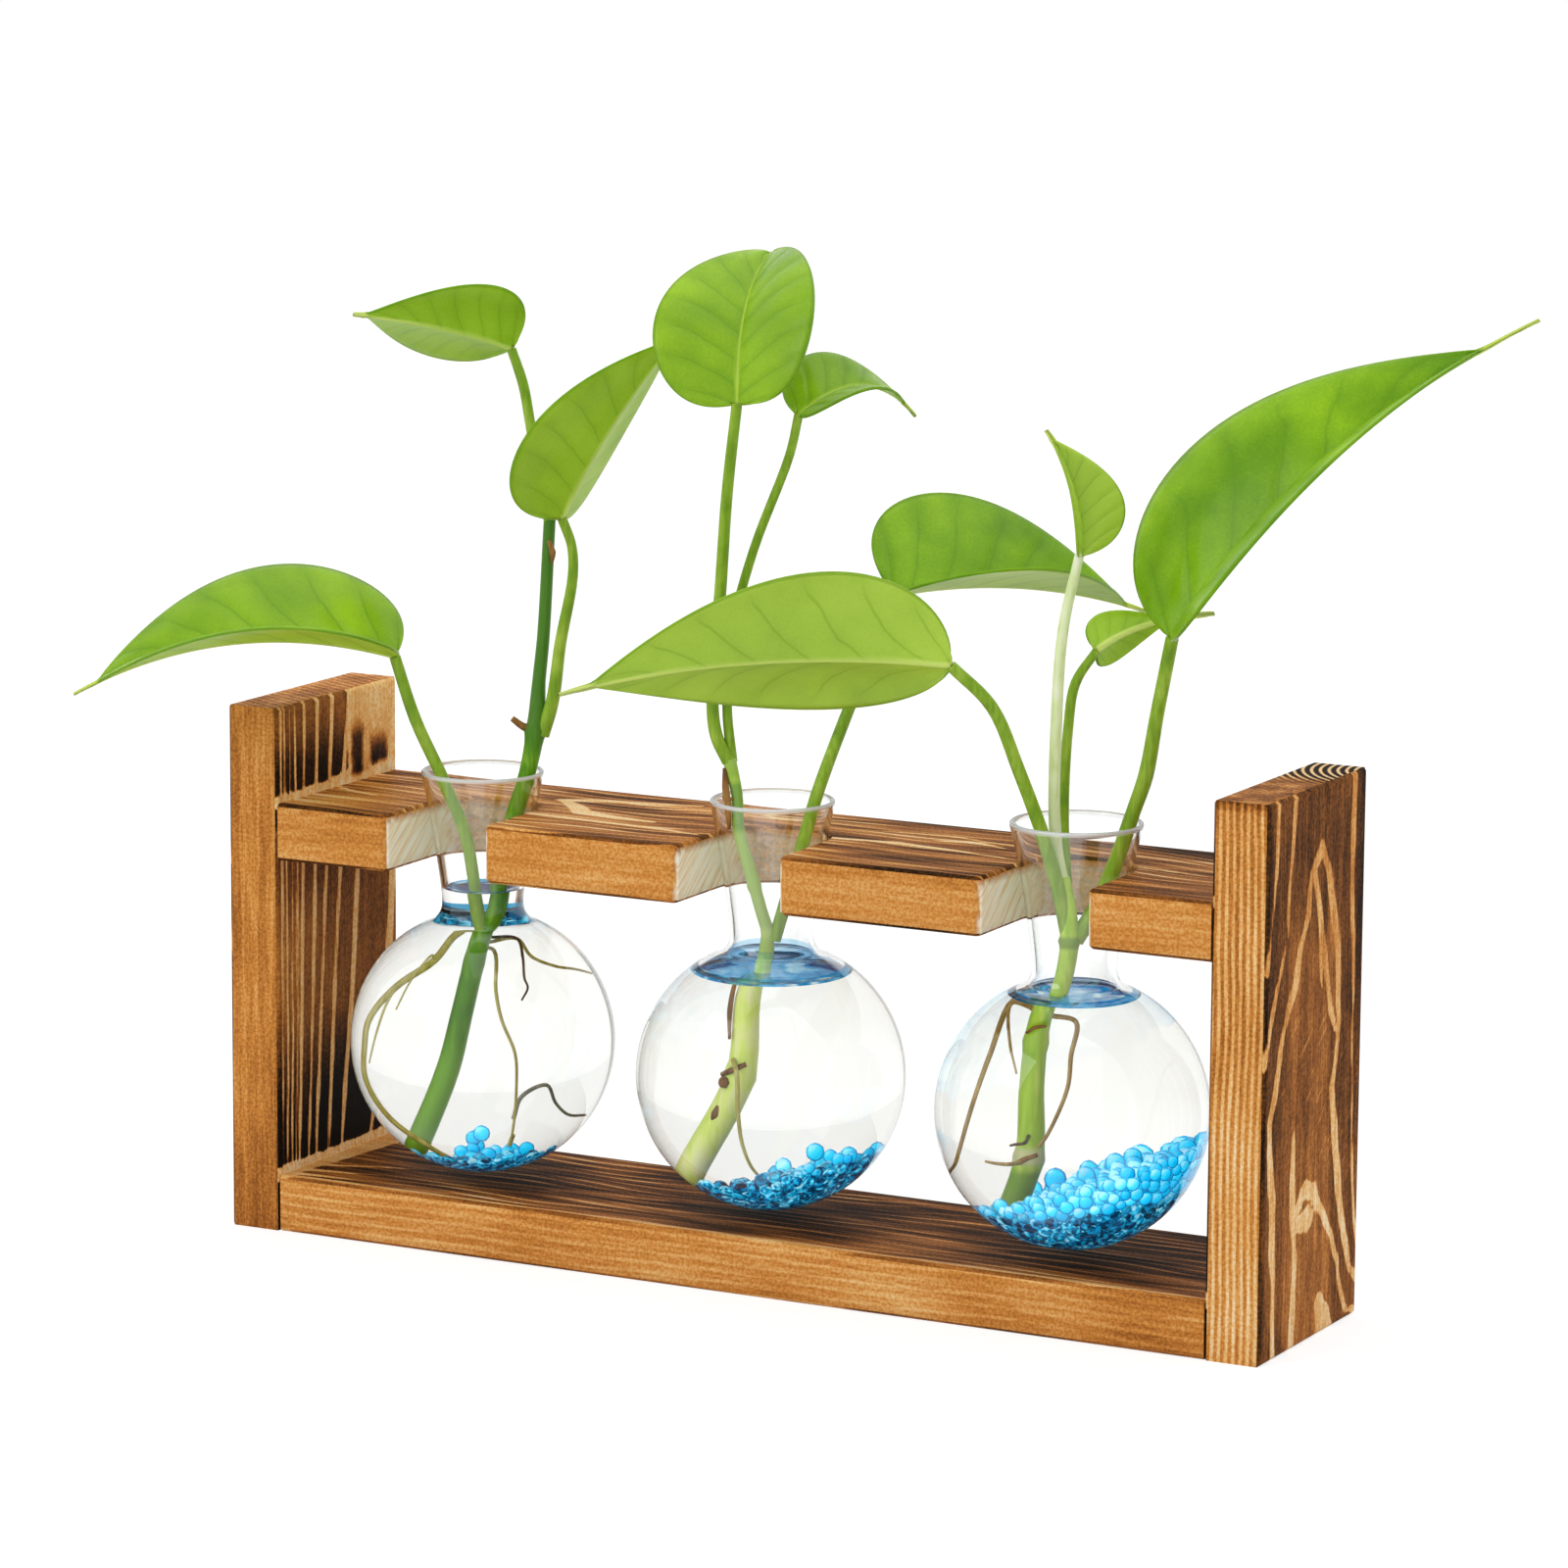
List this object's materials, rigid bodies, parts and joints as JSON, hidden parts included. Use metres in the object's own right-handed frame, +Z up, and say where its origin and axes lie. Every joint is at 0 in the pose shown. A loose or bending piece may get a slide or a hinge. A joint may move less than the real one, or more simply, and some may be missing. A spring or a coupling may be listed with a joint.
{
  "type": "hydroponic vase stand",
  "caption": "Desktop stand of torched softwood: round-bottomed glass vases hang by their flared necks in an open-fronted slotted rail, each with gel beads and a leafy cutting.",
  "frame": {"origin": "centre of the stand's underside, on the surface that it stands on", "axes": "+X along the row of vases, to the right for someone who faces the slots' open side; -Y out of the slots' open side; +Z up"},
  "size_m": [0.361, 0.1815, 0.2654],
  "materials": {
    "torched_wood": "torched softwood, wire-brushed, dry",
    "dowel_wood": "plain turned beech",
    "clear_glass": "clear blown glass, thin wall",
    "gel_beads": "wet, glossy, translucent",
    "stem_green": "smooth live stem",
    "leaf_green": "glossy upper side, paler satin underside",
    "stalk_green": "smooth live stalk"
  },
  "bodies": {
    "stand": {"base_board": "torched_wood", "vase_rail": "torched_wood", "end_board_left": "torched_wood", "end_board_right": "torched_wood", "dowel_base_left_front": "dowel_wood", "dowel_base_left_back": "dowel_wood", "dowel_base_right_front": "dowel_wood", "dowel_base_right_back": "dowel_wood", "dowel_rail_left_front": "dowel_wood", "dowel_rail_left_back": "dowel_wood", "dowel_rail_right_front": "dowel_wood", "dowel_rail_right_back": "dowel_wood"},
    "left_vase": {"vase_left": "clear_glass", "beads_left": "gel_beads", "stem_left": "stem_green", "blade_left_low": "leaf_green", "stalk_left_low": "stalk_green", "blade_left_top": "leaf_green", "stalk_left_top": "stalk_green", "blade_left_middle": "leaf_green", "stalk_left_middle": "stalk_green"},
    "middle_vase": {"vase_middle": "clear_glass", "beads_middle": "gel_beads", "stem_middle": "stem_green", "blade_middle_top": "leaf_green", "stalk_middle_top": "stalk_green", "blade_middle_side": "leaf_green", "stalk_middle_side": "stalk_green", "blade_middle_back": "leaf_green", "stalk_middle_back": "stalk_green"},
    "right_vase": {"vase_right": "clear_glass", "beads_right": "gel_beads", "stem_right": "stem_green", "blade_right_front": "leaf_green", "stalk_right_front": "stalk_green", "blade_right_upright": "leaf_green", "stalk_right_upright": "stalk_green", "blade_right_small": "leaf_green", "stalk_right_small": "stalk_green", "blade_right_large": "leaf_green", "stalk_right_large": "stalk_green"}
  },
  "joints": [
    {"name": "left_vase_slide", "type": "slide", "parent": "stand", "child": "left_vase", "axis": [0, -1, 0], "range_m": [0, 0.045]},
    {"name": "middle_vase_slide", "type": "slide", "parent": "stand", "child": "middle_vase", "axis": [0, -1, 0], "range_m": [0, 0.045]},
    {"name": "right_vase_slide", "type": "slide", "parent": "stand", "child": "right_vase", "axis": [0, -1, 0], "range_m": [0, 0.045]}
  ]
}
